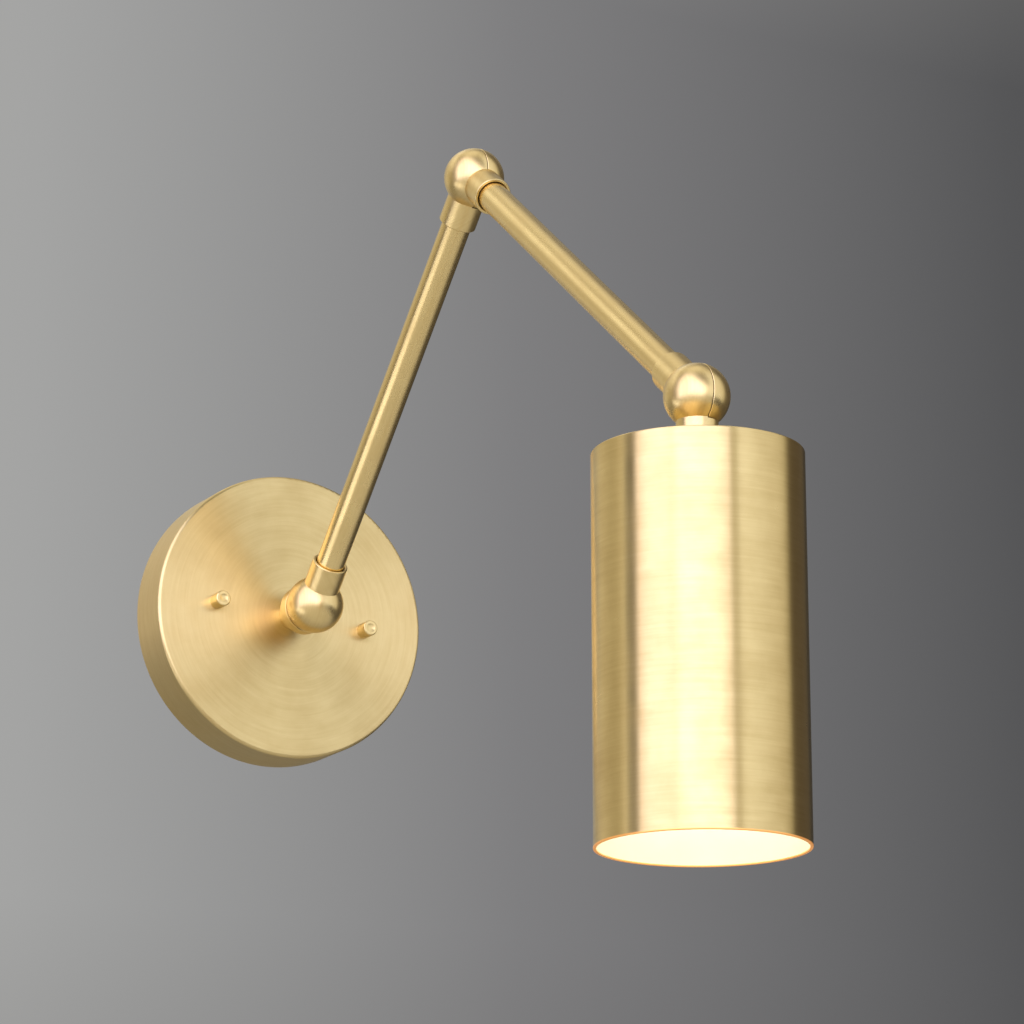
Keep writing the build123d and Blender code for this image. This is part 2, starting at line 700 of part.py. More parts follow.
shell_r = socket_shell_d / 2
with BuildPart() as socket_body:
    with BuildSketch(head_stem.offset(socket_start)):
        Circle(socket_neck_d / 2)
    extrude(amount=socket_length)
    with BuildSketch(head_stem.offset(socket_end - socket_mouth_length)):
        Circle(socket_mouth_d / 2)
    extrude(amount=socket_mouth_length)
    fillet(socket_body.edges().filter_by(GeomType.CIRCLE).sort_by(Axis.Z)[0], socket_edge_r)
    fillet(socket_body.edges().filter_by(GeomType.CIRCLE).sort_by(Axis.Z)[-1], socket_edge_r)
    with BuildSketch(head_stem.offset(socket_floor)):
        Circle(shell_r + seat_gap)
    extrude(amount=socket_length, mode=Mode.SUBTRACT)
    with BuildSketch(head_stem.offset(socket_start)):
        with Locations(*socket_screw_places):
            Circle(screw_d / 2 + thread_gap)
    extrude(amount=socket_screw_depth + seat_gap, mode=Mode.SUBTRACT)
    with BuildSketch(head_stem.offset(socket_start)):
        with Locations(*socket_lead_places):
            Circle(lead_r + seat_gap / 2)
    extrude(amount=socket_floor_t, mode=Mode.SUBTRACT)
save(socket_body.part, "socket_body")

save(sleeve(head_stem, socket_floor, socket_shell_length, shell_r, shell_r - socket_shell_t),
     "socket_shell")

with BuildPart() as socket_contact:
    with BuildSketch(head_stem.offset(socket_floor)):
        with Locations((contact_width, 0)):
            Rectangle(contact_length, contact_width)
    extrude(amount=contact_t)
    with BuildSketch(head_stem.offset(socket_floor)):
        Rectangle(contact_pad, contact_width)
    extrude(amount=contact_rise)
save(socket_contact.part, "socket_contact")

save(lead_pair_along(head_stem, -1, lead_start, socket_floor - socket_lead_spare), "socket_leads")

# ---------------------------------------------------------------- head: bulb
tip_start = socket_floor + contact_rise
insulator_start = tip_start + bulb_tip_t
base_start = insulator_start + bulb_insulator_length
base_end = base_start + bulb_base_length
glass_start = base_end - bulb_glass_in_base
glass_end = glass_start + bulb_glass_length
bulb_r = bulb_d / 2

with BuildPart() as bulb_tip:
    with BuildSketch(head_stem.offset(tip_start)):
        Circle(bulb_tip_d / 2)
    extrude(amount=bulb_tip_t)
    fillet(bulb_tip.edges().sort_by(Axis.Z)[-1], bulb_tip_edge_r)
save(bulb_tip.part, "bulb_tip")

with BuildPart() as bulb_insulator:
    with BuildSketch(head_stem.offset(insulator_start)):
        Circle(bulb_tip_d / 2)
    with BuildSketch(head_stem.offset(base_start)):
        Circle(bulb_insulator_d / 2)
    loft()
save(bulb_insulator.part, "bulb_insulator")

with BuildPart() as bulb_base:
    with BuildSketch(head_stem.offset(base_start)):
        Circle(bulb_base_d / 2)
    extrude(amount=bulb_base_length)
    with BuildSketch(head_stem.offset(base_start + bulb_base_t)):
        Circle(bulb_base_d / 2 - bulb_base_t)
    extrude(amount=bulb_base_length, mode=Mode.SUBTRACT)
    fillet(bulb_base.edges().filter_by(GeomType.CIRCLE).sort_by(Axis.Z)[-1], bulb_base_t)
save(bulb_base.part, "bulb_base")


def bulb_outline(inset):
    """Closed half outline of the bulb's glass, drawn in by the inset."""
    neck_r = bulb_neck_d / 2 - inset
    belly_r = bulb_r - inset
    belly = glass_end - bulb_r
    Line((0, glass_start), (neck_r, glass_start))
    Line((neck_r, glass_start), (neck_r, base_end))
    Spline((neck_r, base_end), (belly_r, belly), tangents=((0, 1), (0, 1)))
    RadiusArc((belly_r, belly), (0, glass_end - inset), -belly_r)
    Line((0, glass_end - inset), (0, glass_start))


with BuildPart() as bulb_glass:
    with BuildSketch(head_section):
        with BuildLine():
            bulb_outline(0)
        make_face()
        with BuildLine():
            bulb_outline(bulb_glass_t)
        make_face(mode=Mode.SUBTRACT)
    revolve(axis=head_axis)
save(bulb_glass.part, "bulb_glass")

print("wall ball", wall_ball, "elbow ball", elbow_ball, "head ball", head_ball)
print("bulb end to shade rim", head_reach + shade_length - glass_end)
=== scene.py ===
# Articulating wall lamp: finishes, thread detail, stage, light and camera. Metres, in the frame's axes.
import bpy
import json
import math
from mathutils import Matrix, Vector


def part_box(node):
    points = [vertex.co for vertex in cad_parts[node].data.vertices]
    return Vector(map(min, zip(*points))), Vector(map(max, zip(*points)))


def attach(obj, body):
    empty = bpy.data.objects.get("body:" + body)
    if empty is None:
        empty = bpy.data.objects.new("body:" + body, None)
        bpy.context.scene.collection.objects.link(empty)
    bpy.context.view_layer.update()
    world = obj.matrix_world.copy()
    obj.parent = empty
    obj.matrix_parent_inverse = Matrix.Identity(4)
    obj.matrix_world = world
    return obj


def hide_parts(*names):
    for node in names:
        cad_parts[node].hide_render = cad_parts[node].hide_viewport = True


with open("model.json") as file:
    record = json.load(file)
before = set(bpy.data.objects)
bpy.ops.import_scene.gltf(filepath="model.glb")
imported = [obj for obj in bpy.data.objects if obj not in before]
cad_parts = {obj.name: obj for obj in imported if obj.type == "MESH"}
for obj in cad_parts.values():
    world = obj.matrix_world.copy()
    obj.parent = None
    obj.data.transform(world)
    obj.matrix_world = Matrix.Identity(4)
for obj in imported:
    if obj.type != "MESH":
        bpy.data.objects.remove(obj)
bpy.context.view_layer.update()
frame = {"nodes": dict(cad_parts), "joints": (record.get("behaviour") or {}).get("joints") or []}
nodes = frame["nodes"]
joints = {joint["name"]: joint for joint in frame["joints"]}

# ---------------------------------------------------------------- places taken from the frame
wall_ball = Vector(joints["wall_tilt"]["pos_m"])
elbow_ball = Vector(joints["elbow_tilt"]["pos_m"])
head_ball = Vector(joints["head_tilt"]["pos_m"])
lower_axis = (elbow_ball - wall_ball).normalized()
upper_axis = (head_ball - elbow_ball).normalized()
shade_low, shade_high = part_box("shade")
shade_radius = (shade_high.x - shade_low.x) / 2

X = Vector((1, 0, 0))
Y = Vector((0, 1, 0))
Z = Vector((0, 0, 1))
ORIGIN = Vector((0, 0, 0))
MM = 0.001

# Most values of a noise lie between these.
NOISE_WIDE = (0.3, 0.7)
NOISE_NARROW = (0.35, 0.65)


# ---------------------------------------------------------------- node trees
class Tree:
    """Short calls for building one material's or world's nodes."""

    def __init__(self, owner):
        owner.use_nodes = True
        self.owner = owner
        self.nodes = owner.node_tree.nodes
        self.links = owner.node_tree.links
        self.nodes.clear()

    def put(self, socket, value):
        """Link a socket, or set its value."""
        if isinstance(value, bpy.types.NodeSocket):
            self.links.new(value, socket)
        else:
            socket.default_value = value

    def add(self, kind, inputs=None, **settings):
        node = self.nodes.new("ShaderNode" + kind)
        for key, value in settings.items():
            setattr(node, key, value)
        for key, value in (inputs or {}).items():
            self.put(node.inputs[key], value)
        return node

    def math(self, operation, *values):
        node = self.add("Math", operation=operation)
        for socket, value in zip(node.inputs, values):
            self.put(socket, value)
        return node.outputs[0]

    def total(self, *values):
        result = values[0]
        for value in values[1:]:
            result = self.math("ADD", result, value)
        return result

    def times(self, value, factor):
        return self.math("MULTIPLY", value, factor)

    def length(self, x, y):
        return self.math("SQRT", self.total(self.times(x, x), self.times(y, y)))

    def vector(self, x, y, z):
        return self.add("CombineXYZ", {"X": x, "Y": y, "Z": z}).outputs[0]

    def parts(self, vector):
        return self.add("SeparateXYZ", {"Vector": vector}).outputs

    def noise(self, vector, scale=1.0, detail=2.0, rough=0.5):
        node = self.add("TexNoise", {"Vector": vector, "Scale": scale, "Detail": detail,
                                     "Roughness": rough})
        return node.outputs["Fac"]

    def span(self, value, low, high, start=0.0, end=1.0):
        """Map a value from one range to another."""
        node = self.add("MapRange", {"Value": value, "From Min": low, "From Max": high,
                                     "To Min": start, "To Max": end})
        return node.outputs["Result"]

    def mix(self, factor, first, second):
        """Mix two colours."""
        node = self.add("Mix", data_type="RGBA")
        for socket, value in zip((node.inputs[0], node.inputs[6], node.inputs[7]),
                                 (factor, first, second)):
            self.put(socket, value)
        return node.outputs[2]

    def blend(self, factor, first, second):
        """Mix two shaders."""
        node = self.add("MixShader", {"Fac": factor})
        self.links.new(first, node.inputs[1])
        self.links.new(second, node.inputs[2])
        return node.outputs[0]

    def rest(self):
        """Coordinates at rest, which stay on the piece when it moves."""
        return self.add("TexCoord").outputs["Object"]

    def axis_frame(self, point, direction):
        """Rest coordinates with the origin at a point and local Z along a direction."""
        turn = direction.to_track_quat("Z", "Y").to_euler()
        return self.add("Mapping", {"Vector": self.rest(), "Location": point, "Rotation": turn},
                        vector_type="TEXTURE").outputs[0]

    def bump(self, height, distance, under=None):
        inputs = {"Height": height, "Distance": distance}
        if under is not None:
            inputs["Normal"] = under
        return self.add("Bump", inputs).outputs[0]

    def principled(self, inputs):
        return self.add("BsdfPrincipled", inputs).outputs[0]

    def finish(self, shader):
        output = self.add("OutputMaterial")
        self.links.new(shader, output.inputs["Surface"])
        return self.owner


def material_tree(name):
    return Tree(bpy.data.materials.new(name))


def colour(red, green, blue):
    """Linear colour of an 8-bit screen colour."""
    def linear(level):
        part = level / 255
        return part / 12.92 if part <= 0.04045 else ((part + 0.055) / 1.055) ** 2.4
    return (linear(red), linear(green), linear(blue), 1.0)


def shaded(shade, factor):
    return tuple(part * factor for part in shade[:3]) + (1.0,)


def dress(material, *names):
    """Give carried-over nodes a material."""
    for name in names:
        for slot in nodes[name].material_slots:
            slot.material = material


# ---------------------------------------------------------------- brass
BRASS = (0.92, 0.715, 0.338, 1.0)
BRASS_DEEP = (0.76, 0.55, 0.222, 1.0)
BRUSH_COARSE = 1 / 0.0016      # brush lines per metre
BRUSH_FINE = 1 / 0.0006
BRUSH_LONG = 1 / 0.025         # along a brush line
COARSE_SHARE = 0.6
FINE_SHARE = 0.4
LINE_TONE = 0.35               # how far a brush line goes towards the deep brass
LINE_ROUGH = (-0.02, 0.02)     # what the lines add to the roughness
PATINA = 1 / 0.018
PATINA_SPAN = (0.35, 0.7)      # of its noise, for its colour
PATINA_TONE = 0.35
PATINA_ROUGH = (-0.03, 0.04)
MOTTLE = 1 / 0.0045            # uneven polish, as a hand-rubbed ball or tube has
MOTTLE_DEPTH = 1.6e-5
MOTTLE_SPAN = (0.4, 0.7)
MOTTLE_TONE = 0.2
MOTTLE_ROUGH = 0.03
ACROSS_LINES = 0.25            # quarter turn of the anisotropy, which stretches across the lines

TUBE_BRASS = {"line_depth": 1.5e-6, "mottle": 0.12, "streak": 4.0}
SWIVEL_BRASS = {"line_depth": 1.5e-6, "mottle": 0.5}

SHADE_SKIN = 0.0009            # how deep the outside's brass reaches into the shade's wall
SHADE_WHITE = colour(252, 246, 220)
SHADE_CREAM = colour(248, 239, 206)
PAINTED_GLOW_LIP = 0.0006               # height of the band round the shade's mouth with a painted warm glow: an orange colour and an emission stand in for the bulb's light catching the edge
LIP_PAINTED_BRASS = (0.86, 0.48, 0.16, 1.0)
LIP_PAINTED_GLOW = (1.0, 0.40, 0.11, 1.0)


def brush_lines(tree, stretch):
    """Coarse and fine brush lines. stretch gives the noise's place for a pitch across the lines."""
    coarse, fine = [tree.noise(stretch(pitch), rough=0.6) for pitch in (BRUSH_COARSE, BRUSH_FINE)]
    return tree.total(tree.times(coarse, COARSE_SHARE), tree.times(fine, FINE_SHARE))


def turned_grain(tree, place):
    """Brush lines that run round the local Z axis."""
    x, y, z = tree.parts(place)
    across = tree.math("ADD", tree.length(x, y), z)
    return brush_lines(tree, lambda pitch: tree.vector(
        tree.times(x, BRUSH_LONG), tree.times(y, BRUSH_LONG), tree.times(across, pitch)))


def drawn_grain(tree, place):
    """Brush lines that run along the local Z axis."""
    x, y, z = tree.parts(place)
    return brush_lines(tree, lambda pitch: tree.vector(
        tree.times(x, pitch), tree.times(y, pitch), tree.times(z, BRUSH_LONG)))


def brass(name, point, direction, grain, roughness, line_depth=6e-6, mottle=0.0, streak=1.0, dim=1.0):
    """Satin brass with brush lines, a faint patina and an uneven polish, drawn out along local Z."""
    tree = material_tree(name)
    place = tree.axis_frame(point, direction)
    lines = grain(tree, place)
    cloud = tree.noise(place, scale=PATINA, detail=5.0, rough=0.6)
    tone = tree.total(tree.times(tree.span(lines, *NOISE_NARROW), LINE_TONE),
                      tree.times(tree.span(cloud, *PATINA_SPAN), PATINA_TONE))
    least, most = (roughness + part for part in PATINA_ROUGH)
    rough = tree.total(tree.span(cloud, *NOISE_WIDE, least, most),
                       tree.span(lines, *NOISE_WIDE, *LINE_ROUGH))
    normal = tree.bump(lines, line_depth)
    if mottle:
        drawn = tree.add("Mapping", {"Vector": place, "Scale": (1, 1, 1 / streak)}).outputs[0]
        spots = tree.noise(drawn, scale=MOTTLE)
        normal = tree.bump(spots, MOTTLE_DEPTH * mottle, normal)
        uneven = MOTTLE_ROUGH * mottle
        rough = tree.math("ADD", rough, tree.span(spots, *NOISE_NARROW, -uneven, uneven))
        tone = tree.math("ADD", tone, tree.span(spots, *MOTTLE_SPAN, 0.0, MOTTLE_TONE * mottle))
    inputs = {"Base Color": tree.mix(tone, shaded(BRASS, dim), shaded(BRASS_DEEP, dim)),
              "Metallic": 1.0, "Roughness": rough, "Normal": normal}
    return tree, inputs


def round_brushed(tree, inputs, axis, amount):
    """Stretch the highlights across brush lines that run round the piece's axis."""
    inputs["Tangent"] = tree.add("Tangent", direction_type="RADIAL", axis=axis).outputs[0]
    inputs["Anisotropic"] = amount
    inputs["Anisotropic Rotation"] = ACROSS_LINES


def solid_brass(*arguments, **settings):
    tree, inputs = brass(*arguments, **settings)
    return tree.finish(tree.principled(inputs))


def canopy_brass():
    tree, inputs = brass("canopy_brass", ORIGIN, -Y, turned_grain, roughness=0.34, dim=0.86)
    round_brushed(tree, inputs, "Y", amount=0.75)
    return tree.finish(tree.principled(inputs))


def shade_brass():
    """Brushed round the outside, pale inside, where the lamp's light falls, with a painted warm glow
    round the edge of the mouth.
    """
    middle = Vector((head_ball.x, head_ball.y, 0))
    tree, inputs = brass("shade_brass", middle, Z, turned_grain, roughness=0.31, line_depth=9e-6)
    round_brushed(tree, inputs, "Z", amount=0.93)
    outside = tree.principled(inputs)
    place = tree.axis_frame(middle, Z)
    dust = tree.noise(place, scale=PATINA, detail=4.0)
    inside = tree.principled({"Base Color": tree.mix(dust, SHADE_WHITE, SHADE_CREAM), "Roughness": 0.5,
                              "Normal": tree.bump(tree.noise(place, scale=MOTTLE), distance=4e-6)})
    # Painted light: the orange brass and its emission stand in for the bulb's light catching the edge
    # of the mouth.
    painted_glow_lip = tree.principled({"Base Color": LIP_PAINTED_BRASS, "Metallic": 1.0,
                           "Roughness": tree.span(dust, *NOISE_WIDE, start=0.3, end=0.4),
                           "Emission Color": LIP_PAINTED_GLOW, "Emission Strength": 0.5})
    x, y, z = tree.parts(place)
    within = tree.math("LESS_THAN", tree.length(x, y), shade_radius - SHADE_SKIN)
    below = tree.math("LESS_THAN", z, shade_high.z - SHADE_SKIN)
    # The lowest band of the shade, all round, which carries the painted glow.
    mouth = tree.math("LESS_THAN", z, shade_low.z + PAINTED_GLOW_LIP)
    dressed = tree.blend(tree.times(within, below), outside, inside)
    return tree.finish(tree.blend(mouth, dressed, painted_glow_lip))


def brass_pieces():
    """Dress the brass nodes. Gives the small nuts' brass, which a modelled nut shares."""
    dress(canopy_brass(), "canopy")
    dress(shade_brass(), "shade")
    tubes = {"lower": (wall_ball, lower_axis, 0.27), "upper": (elbow_ball, upper_axis, 0.28)}
    for place, (start, axis, roughness) in tubes.items():
        material = solid_brass("tube_brass_" + place, start, axis, drawn_grain, roughness, **TUBE_BRASS)
        dress(material, place + "_tube")
    swivels = {"wall": (wall_ball, ["wall_swivel_base", "wall_swivel_ball"]),
               "elbow": (elbow_ball, ["elbow_swivel_base", "elbow_swivel_cup"]),
               "head": (head_ball, ["head_swivel_base", "head_swivel_cup"])}
    for place, (centre, names) in swivels.items():
        material = solid_brass("swivel_brass_" + place, centre, X, turned_grain, roughness=0.3,
                               **SWIVEL_BRASS)
        dress(material, *names)
    small = solid_brass("nut_brass", ORIGIN, -Y, turned_grain, roughness=0.33, mottle=0.5)
    dress(small, "cap_nuts", "wall_nipple_nut", "wall_ball_nut", "wall_ball_follower", "shade_nut",
          "elbow_pivot_screw", "head_pivot_screw")
    return small


# ---------------------------------------------------------------- steel, plastic, ceramic and glass
STEEL = (0.66, 0.66, 0.63, 1.0)
GREEN_STEEL = (0.07, 0.34, 0.13, 1.0)
CONTACT_METAL = (0.80, 0.73, 0.56, 1.0)
SPANGLE = 1 / 0.0022           # crystals of the plating per metre
SPANGLE_TONE = 0.25
SPANGLE_ROUGH = 0.06
ROLLED_LONG = 1 / 0.02         # rolling lines, along and across
ROLLED_FINE = 1 / 0.0005
OXIDE = 1 / 0.012
OXIDE_SPAN = (0.45, 0.7)       # of its noise, for its colour
OXIDE_TONE = 0.6
OXIDE_SHADE = 0.62
OXIDE_DULL = (0.35, 0.7)       # of its noise, for its roughness
OXIDE_ROUGH = 0.2

PLASTIC_SKIN = 1 / 0.0008
PLASTIC_SKIN_ROUGH = (-0.03, 0.03)
PLASTIC_SPECULAR = 0.45
SCUFF = 1 / 0.01
SCUFF_SPAN = (0.4, 0.75)
SCUFF_TONE = 0.7
SCUFF_SHADE = 0.8
SCUFF_ROUGH = (-0.05, 0.1)

GLAZE = colour(243, 240, 230)
GLAZE_STAIN = colour(222, 214, 196)
GLAZE_ROUGH = (0.12, 0.24)
WAVE = 1 / 0.006
WAVE_TONE = 0.4
SPECKS = 1 / 0.0007
SPECK_SPAN = (0.68, 0.74)
SPECK_TONE = 0.6

FIBRE = 1 / 0.0006
FIBRE_PALE = colour(92, 74, 58)
FIBRE_DARK = colour(52, 42, 34)
FIBRE_ROUGH = (0.7, 0.9)

BULB_GLOW = 3.3
GLOW_UNEVEN = 0.03
GLOW_FROST = 1 / 0.004
GLOW_FROST_SPAN = (0.2, 0.8)
GLOW_BLEND = 0.35
GLOW_FACING = (1.0, 0.96, 0.92, 1.0)
GLOW_EDGE = (1.0, 0.90, 0.76, 1.0)


def plated_steel(name, tint, roughness):
    """Plated steel: a fine spangle, rolling lines and a little dull oxide."""
    tree = material_tree(name)
    place = tree.rest()
    spangle = tree.add("TexVoronoi", {"Vector": place, "Scale": SPANGLE}).outputs["Color"]
    grey = tree.parts(spangle)[0]
    x, y, z = tree.parts(place)
    rolled = tree.noise(tree.vector(tree.times(x, ROLLED_LONG), tree.times(y, ROLLED_FINE),
                                    tree.times(z, ROLLED_FINE)), detail=3.0)
    oxide = tree.noise(place, scale=OXIDE, detail=6.0, rough=0.65)
    tone = tree.total(tree.times(grey, SPANGLE_TONE),
                      tree.times(tree.span(oxide, *OXIDE_SPAN), OXIDE_TONE))
    rough = tree.total(tree.span(oxide, *OXIDE_DULL, roughness, roughness + OXIDE_ROUGH),
                       tree.times(grey, SPANGLE_ROUGH))
    return tree.finish(tree.principled({
        "Base Color": tree.mix(tone, tint, shaded(tint, OXIDE_SHADE)), "Metallic": 1.0,
        "Roughness": rough, "Normal": tree.bump(rolled, distance=8e-6)}))


def moulded(name, tint, roughness, depth=1.2e-5):
    """Moulded or extruded plastic: fine skin texture and slightly uneven colour."""
    tree = material_tree(name)
    place = tree.rest()
    skin = tree.noise(place, scale=PLASTIC_SKIN, detail=3.0, rough=0.6)
    scuff = tree.noise(place, scale=SCUFF, detail=5.0, rough=0.6)
    tone = tree.span(scuff, *SCUFF_SPAN, 0.0, SCUFF_TONE)
    least, most = (roughness + part for part in SCUFF_ROUGH)
    rough = tree.total(tree.span(scuff, *NOISE_WIDE, least, most),
                       tree.span(skin, *NOISE_WIDE, *PLASTIC_SKIN_ROUGH))
    return tree.finish(tree.principled({
        "Base Color": tree.mix(tone, tint, shaded(tint, SCUFF_SHADE)), "Roughness": rough,
        "Specular IOR Level": PLASTIC_SPECULAR, "Normal": tree.bump(skin, depth)}))


def glazed_ceramic():
    """Cream glaze over porcelain: glossy, slightly wavy, with fine specks."""
    tree = material_tree("socket_ceramic")
    place = tree.rest()
    wave = tree.noise(place, scale=WAVE)
    specks = tree.noise(place, scale=SPECKS, detail=1.0)
    tone = tree.total(tree.times(wave, WAVE_TONE), tree.span(specks, *SPECK_SPAN, 0.0, SPECK_TONE))
    return tree.finish(tree.principled({
        "Base Color": tree.mix(tone, GLAZE, GLAZE_STAIN),
        "Roughness": tree.span(wave, *NOISE_WIDE, *GLAZE_ROUGH),
        "Coat Weight": 0.6, "Coat Roughness": 0.08, "Normal": tree.bump(wave, distance=3e-5)}))


def fibre():
    """Pressed fibre washer: speckled and matt."""
    tree = material_tree("friction_washer")
    strands = tree.noise(tree.rest(), scale=FIBRE, detail=4.0, rough=0.7)
    return tree.finish(tree.principled({
        "Base Color": tree.mix(tree.span(strands, *NOISE_WIDE), FIBRE_PALE, FIBRE_DARK),
        "Roughness": tree.span(strands, *NOISE_WIDE, *FIBRE_ROUGH),
        "Normal": tree.bump(strands, distance=3e-5)}))


def bulb_glow():
    """Lit opal glass: brightest where it faces the eye, warmer towards its edge."""
    tree = material_tree("bulb_glass")
    facing = tree.add("LayerWeight", {"Blend": GLOW_BLEND}).outputs["Facing"]
    frost = tree.noise(tree.rest(), scale=GLOW_FROST, detail=3.0)
    glow = tree.mix(facing, GLOW_FACING, GLOW_EDGE)
    strength = tree.span(frost, *GLOW_FROST_SPAN, BULB_GLOW * (1 - GLOW_UNEVEN),
                         BULB_GLOW * (1 + GLOW_UNEVEN))
    return tree.finish(tree.add("Emission", {"Color": glow, "Strength": strength}).outputs[0])


def other_pieces():
    """Dress the nodes that aren't brass. Gives the three materials that modelled pieces share."""
    steel = plated_steel("zinc_steel", STEEL, roughness=0.32)
    dress(steel, "box_bar", "stud_bar", "bar_eyelet", "canopy_studs", "stud_nuts", "wall_ball_spring",
          "wall_nipple", "wall_spring_washer", "lower_tube_nipple_wall", "lower_tube_nipple_elbow",
          "upper_tube_nipple_elbow", "upper_tube_nipple_head", "elbow_pivot_spring",
          "head_pivot_spring", "shade_nipple", "shade_lock_washer", "socket_bracket", "socket_screws")
    dress(plated_steel("green_steel", GREEN_STEEL, roughness=0.36), "earth_screw")
    dress(moulded("green_insulation", colour(38, 130, 62), roughness=0.42), "earth_lead")
    dress(moulded("black_insulation", colour(34, 34, 35), roughness=0.40), "hot_lead")
    white = moulded("white_insulation", colour(226, 224, 216), roughness=0.42)
    dress(white, "neutral_lead", "lower_arm_leads", "upper_arm_leads", "socket_leads")
    plastic = moulded("connector_plastic", colour(226, 122, 36), roughness=0.5)
    dress(plastic, "wire_connectors")
    dress(fibre(), "elbow_friction_washer", "head_friction_washer")
    dress(glazed_ceramic(), "socket_body")
    contact = plated_steel("contact_metal", CONTACT_METAL, roughness=0.3)
    dress(contact, "socket_shell", "socket_contact", "bulb_tip", "bulb_base")
    dress(moulded("bulb_insulator", colour(22, 22, 26), roughness=0.14, depth=2e-6), "bulb_insulator")
    dress(bulb_glow(), "bulb_glass")
    return steel, plastic, contact


nut_brass = brass_pieces()
zinc, connector_plastic, contact_metal = other_pieces()

# ---------------------------------------------------------------- threads, nuts and connectors
THREAD_RINGS = 8               # rings in each turn of a thread
THREAD_FLAT = 0.15             # share of half a turn that is flat at the crest, and at the root
THREAD_POINTS = 32             # points round a thread
ROUND_POINTS = 48              # points round a nut or the bulb's base
SHARP = math.radians(35)       # edges past this angle stay sharp
FIT = 0.05 * MM                # gap round a thread or a lead

STUD_SPACING = 73.2 * MM
STUD_TILT = math.radians(-4.4)
STUD_R = 2.1 * MM
STUD_THREAD = (0.42 * MM, 0.8 * MM)            # depth and pitch
NIPPLE_R = 4.95 * MM
NIPPLE_BORE = 3.6 * MM
NIPPLE_THREAD = (0.5 * MM, 0.94 * MM)
STUD_NUT_FLATS = 8.7 * MM
NIPPLE_NUT_FLATS = 14 * MM
NUT_FACE = 0.98                # the round face's share of the width across flats
NUT_CHAMFER = math.radians(30)
NUT_BEVEL = 0.3 * MM           # at the bore

CONNECTOR = (18 * MM, 4.5 * MM, 3 * MM)        # length, mouth and tip radius
CONNECTOR_RIM = 0.8 * MM       # width of the rim at the mouth
CONNECTOR_EDGE = 0.3 * MM      # bevel outside the rim
CONNECTOR_SKIRT = 3.5 * MM     # plain length above the mouth
CONNECTOR_STEP = 0.5 * MM      # from the skirt to the first ribs
CONNECTOR_TIP = 2.5 * MM       # length of the rounded tip
CONNECTOR_DRAW = 0.75          # how far the tip draws in, as a share of its length
CONNECTOR_GRIP = 6 * MM        # lead inside it
CONNECTOR_REACH = 20 * MM      # from the canopy's axis to its mouth
HOLE_SPARE = 0.1 * MM          # the hole goes on past the lead's end
FUNNEL_WALL = 1.2 * MM         # from the outside at the mouth
FUNNEL_END = 0.7               # share of the hole's depth where the funnel ends
RIBS = 12
RIB_POINTS = 8                 # points in each rib
RIB_DEPTH = 0.45 * MM
RIB_RISE = (0.5, 1, 1, 1, 1, 1, 1, 0.5)        # share of the ribs' depth along the grip
TIP_RINGS = 5
LEAD_R = 1.0 * MM
SUPPLY_ANGLES = (math.radians(62), math.radians(118))

BASE_PITCH = 3.6 * MM
BASE_DEPTH = 0.9 * MM
BASE_END = 0.72                # share of the radius where the shell starts at the insulator
BASE_SHOULDER = 1.5 * MM       # sloped height before the thread
BASE_SLOPE = 0.8
BASE_RIM = 4 * MM              # plain height after the thread
BASE_RINGS = 60
BASE_FLOOR = 0.5 * MM
BASE_FLOOR_R = 0.5             # share of the radius
BASE_SHEET = 0.35 * MM


def axes_along(place, direction):
    """Matrix with its origin at a place, local Z along a direction and local X on the +X side."""
    across = (X - direction * direction.dot(X)).normalized()
    turn = Matrix((across, direction.cross(across), direction)).transposed()
    return Matrix.Translation(place) @ turn.to_4x4()


def ring(radius, height, count=THREAD_POINTS):
    """Points round local Z. Radius and height are numbers, or functions of the angle."""
    points = []
    for step in range(count):
        turn = 2 * math.pi * step / count
        reach = radius(turn) if callable(radius) else radius
        level = height(turn) if callable(height) else height
        points.append(Vector((reach * math.cos(turn), reach * math.sin(turn), level)))
    return points


def thread_rings(length, crest, depth, pitch):
    """Rings of a right-hand screw thread with a tapered first and last turn."""
    def reach(turn, height):
        phase = (height / pitch - turn / (2 * math.pi)) % 1.0
        slope = (1 - abs(2 * phase - 1) - THREAD_FLAT) / (1 - 2 * THREAD_FLAT)
        groove = min(1.0, max(0.0, slope))
        taper = max(0.0, 1 - min(height, length - height) / pitch)
        return crest - depth * max(groove, taper)

    steps = round(length / pitch * THREAD_RINGS)
    heights = [length * step / steps for step in range(steps + 1)]
    return [ring(lambda turn: reach(turn, height), height) for height in heights]


def nut_rings(flats, thickness, bore):
    """Rings of a hexagon nut: chamfered corners on both faces and a bevelled bore."""
    side = flats / 2
    face = side * NUT_FACE

    def corner(turn):
        return side / math.cos(turn % (math.pi / 3) - math.pi / 6)

    def drop(turn):
        return (corner(turn) - face) * math.tan(NUT_CHAMFER)

    profile = [(face, 0), (corner, drop), (corner, lambda turn: thickness - drop(turn)),
               (face, thickness), (bore + NUT_BEVEL, thickness), (bore, thickness - NUT_BEVEL),
               (bore, NUT_BEVEL), (bore + NUT_BEVEL, 0)]
    return [ring(radius, height, ROUND_POINTS) for radius, height in profile]


